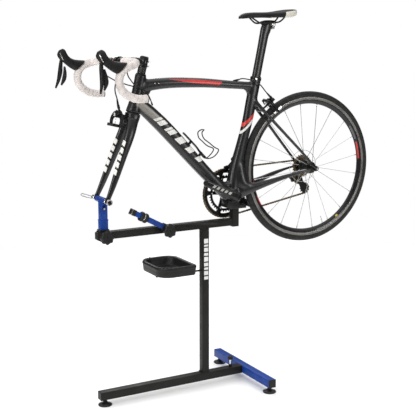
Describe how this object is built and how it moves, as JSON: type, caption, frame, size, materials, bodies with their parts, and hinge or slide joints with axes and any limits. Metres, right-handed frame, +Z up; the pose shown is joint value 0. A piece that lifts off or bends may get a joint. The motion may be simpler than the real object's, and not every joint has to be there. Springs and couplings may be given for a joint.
{
  "type": "bicycle on work stand",
  "caption": "Drop-bar road bicycle without a front wheel, fork and frame clamped on a swivelling floor work stand with a tool tray.",
  "frame": {"origin": "on the floor, under the middle of the whole assembly's length and width", "axes": "+X towards the bicycle's rear, +Y towards its right (drivetrain) side, +Z up"},
  "size_m": [1.4218, 0.483, 1.616],
  "materials": {
    "black_steel": "satin black powder coat",
    "blue_steel": "satin blue powder coat",
    "black_plastic": "fine grained matt black",
    "gloss_black": "clear coated woven composite, gloss black with red stripes",
    "black_alloy": "anodised black",
    "silver": "polished",
    "spoke_steel": "bright stainless",
    "bar_tape": "wrapped off-white tape",
    "rubber": "matt black",
    "tyre": "matt black",
    "chain_metal": "brown bronze plate",
    "padding": "smooth black cover, cream tail",
    "cable_cover": "smooth black sleeve"
  },
  "bodies": {
    "base": {"base_rail": "black_steel", "base_crossbar": "blue_steel", "crossbar_cap_left": "black_plastic", "crossbar_cap_right": "black_plastic", "mast": "black_steel", "tool_tray": "black_plastic"},
    "foot_front": {"foot_front": "rubber"},
    "foot_left": {"foot_left": "rubber"},
    "foot_right": {"foot_right": "rubber"},
    "base_lock": {"base_lock_knob": "silver"},
    "beam": {"top_beam": "black_steel", "bb_cradle": "rubber", "fork_arm_sleeve": "blue_steel", "fork_arm_head": "blue_steel", "fork_skewer": "silver", "frame_main": "gloss_black", "frame_stays": "gloss_black", "fork": "gloss_black", "stem": "black_alloy", "handlebar": "black_alloy", "chain": "chain_metal", "front_derailleur": "black_alloy", "rear_derailleur": "black_alloy", "bottle_cage": "black_steel", "rear_skewer": "silver", "bar_tape_left": "bar_tape", "bar_tape_right": "bar_tape", "hood_left": "rubber", "hood_right": "rubber", "brake_cable_front": "cable_cover", "brake_cable_rear": "cable_cover", "shift_cable_left": "cable_cover", "shift_cable_right": "cable_cover"},
    "fork_lever": {"fork_skewer_lever": "silver"},
    "front_knob": {"front_knob": "black_plastic"},
    "second_knob": {"second_knob": "black_plastic"},
    "second_arm": {"second_arm_socket": "black_plastic", "second_arm": "blue_steel", "second_arm_rings": "black_plastic", "second_arm_tip": "black_plastic"},
    "lever_left": {"brake_lever_left": "black_alloy"},
    "lever_right": {"brake_lever_right": "black_alloy"},
    "paddle_left": {"shift_paddle_left": "black_plastic"},
    "paddle_right": {"shift_paddle_right": "black_plastic"},
    "front_brake_left": {"front_brake_arm_left": "black_alloy"},
    "front_brake_right": {"front_brake_arm_right": "black_alloy"},
    "rear_brake_left": {"rear_brake_arm_left": "black_alloy"},
    "rear_brake_right": {"rear_brake_arm_right": "black_alloy"},
    "crank": {"crank_left": "black_alloy", "crank_right": "black_alloy", "chainrings": "black_alloy"},
    "rear_wheel": {"rear_hub": "spoke_steel", "cassette": "chain_metal", "rear_rim": "black_alloy", "rear_tyre": "tyre"},
    "guide_pulley": {"guide_pulley": "black_plastic"},
    "tension_pulley": {"tension_pulley": "black_plastic"},
    "seatpost": {"seatpost": "gloss_black", "saddle_rails": "black_steel", "saddle": "padding"}
  },
  "joints": [
    {"name": "foot_front_turn", "type": "hinge", "parent": "base", "child": "foot_front", "pos_m": [-0.6192, 0, 0], "axis": [0, 0, 1], "range_deg": [-180, 180]},
    {"name": "foot_left_turn", "type": "hinge", "parent": "base", "child": "foot_left", "pos_m": [0.0526, -0.213, 0], "axis": [0, 0, 1], "range_deg": [-180, 180]},
    {"name": "foot_right_turn", "type": "hinge", "parent": "base", "child": "foot_right", "pos_m": [0.0526, 0.213, 0], "axis": [0, 0, 1], "range_deg": [-180, 180]},
    {"name": "base_lock_turn", "type": "hinge", "parent": "base", "child": "base_lock", "pos_m": [-0.0172, 0, 0.0613], "axis": [0, 0, 1], "range_deg": [-180, 180]},
    {"name": "beam_swivel", "type": "hinge", "parent": "base", "child": "beam", "pos_m": [-0.1492, 0, 0.702], "axis": [0, 0, 1], "range_deg": [-180, 180]},
    {"name": "fork_lever_turn", "type": "hinge", "parent": "beam", "child": "fork_lever", "pos_m": [-0.6144, 0.079, 0.86182], "axis": [0, 0, -1], "range_deg": [0, 90]},
    {"name": "front_knob_turn", "type": "hinge", "parent": "beam", "child": "front_knob", "pos_m": [-0.6152, 0, 0.717], "axis": [0, 1, 0], "range_deg": [-180, 180]},
    {"name": "second_knob_turn", "type": "hinge", "parent": "beam", "child": "second_knob", "pos_m": [-0.3362, 0, 0.717], "axis": [0, 1, 0], "range_deg": [-180, 180]},
    {"name": "second_arm_hinge", "type": "hinge", "parent": "beam", "child": "second_arm", "pos_m": [-0.3362, 0, 0.717], "axis": [0, 1, 0], "range_deg": [-8, 62]},
    {"name": "brake_lever_left", "type": "hinge", "parent": "beam", "child": "lever_left", "pos_m": [-0.68998, -0.206, 1.41185], "axis": [0, -1, 0], "range_deg": [0, 12], "stiffness_Nm_per_rad": 1, "springref_deg": -11.46},
    {"name": "shift_paddle_left", "type": "hinge", "parent": "lever_left", "child": "paddle_left", "pos_m": [-0.67917, -0.204, 1.38552], "axis": [1, 0, 0], "range_deg": [0, 8], "stiffness_Nm_per_rad": 0.3, "springref_deg": -8.59},
    {"name": "brake_lever_right", "type": "hinge", "parent": "beam", "child": "lever_right", "pos_m": [-0.68998, 0.206, 1.41185], "axis": [0, -1, 0], "range_deg": [0, 12], "stiffness_Nm_per_rad": 1, "springref_deg": -11.46},
    {"name": "shift_paddle_right", "type": "hinge", "parent": "lever_right", "child": "paddle_right", "pos_m": [-0.67917, 0.204, 1.38552], "axis": [-1, 0, 0], "range_deg": [0, 8], "stiffness_Nm_per_rad": 0.3, "springref_deg": -8.59},
    {"name": "front_brake_left", "type": "hinge", "parent": "beam", "child": "front_brake_left", "pos_m": [-0.54038, 0, 1.19569], "axis": [-0.9716, 0, 0.2365], "range_deg": [-2.6, 0]},
    {"name": "rear_brake_left", "type": "hinge", "parent": "beam", "child": "rear_brake_left", "pos_m": [0.177, 0, 1.22266], "axis": [0.8024, 0, 0.5967], "range_deg": [0, 2.6]},
    {"name": "front_brake_right", "type": "hinge", "parent": "beam", "child": "front_brake_right", "pos_m": [-0.54038, 0, 1.19569], "axis": [-0.9716, 0, 0.2365], "range_deg": [0, 2.6]},
    {"name": "rear_brake_right", "type": "hinge", "parent": "beam", "child": "rear_brake_right", "pos_m": [0.177, 0, 1.22266], "axis": [0.8024, 0, 0.5967], "range_deg": [-2.6, 0]},
    {"name": "rear_wheel_turn", "type": "hinge", "parent": "beam", "child": "rear_wheel", "pos_m": [0.3757, 0, 0.92931], "axis": [0, 1, 0], "continuous": true},
    {"name": "crank_turn", "type": "hinge", "parent": "beam", "child": "crank", "pos_m": [-0.0212, 0, 0.835], "axis": [0, 1, 0], "continuous": true},
    {"name": "guide_pulley_turn", "type": "hinge", "parent": "beam", "child": "guide_pulley", "pos_m": [0.37241, 0, 0.86885], "axis": [0, 1, 0], "continuous": true},
    {"name": "tension_pulley_turn", "type": "hinge", "parent": "beam", "child": "tension_pulley", "pos_m": [0.40615, 0, 0.82234], "axis": [0, 1, 0], "continuous": true},
    {"name": "seatpost_slide", "type": "slide", "parent": "beam", "child": "seatpost", "axis": [0.2125, 0, 0.9772], "range_m": [-0.04, 0.03]}
  ],
  "couplings": [
    {"joint": "front_brake_left", "follows": "brake_lever_left", "ratio": -0.2},
    {"joint": "front_brake_right", "follows": "brake_lever_left", "ratio": 0.2},
    {"joint": "rear_brake_left", "follows": "brake_lever_right", "ratio": 0.2},
    {"joint": "rear_brake_right", "follows": "brake_lever_right", "ratio": -0.2},
    {"joint": "crank_turn", "follows": "rear_wheel_turn", "ratio": 0.23077},
    {"joint": "guide_pulley_turn", "follows": "rear_wheel_turn", "ratio": -1.0909},
    {"joint": "tension_pulley_turn", "follows": "rear_wheel_turn", "ratio": 1.0909}
  ]
}
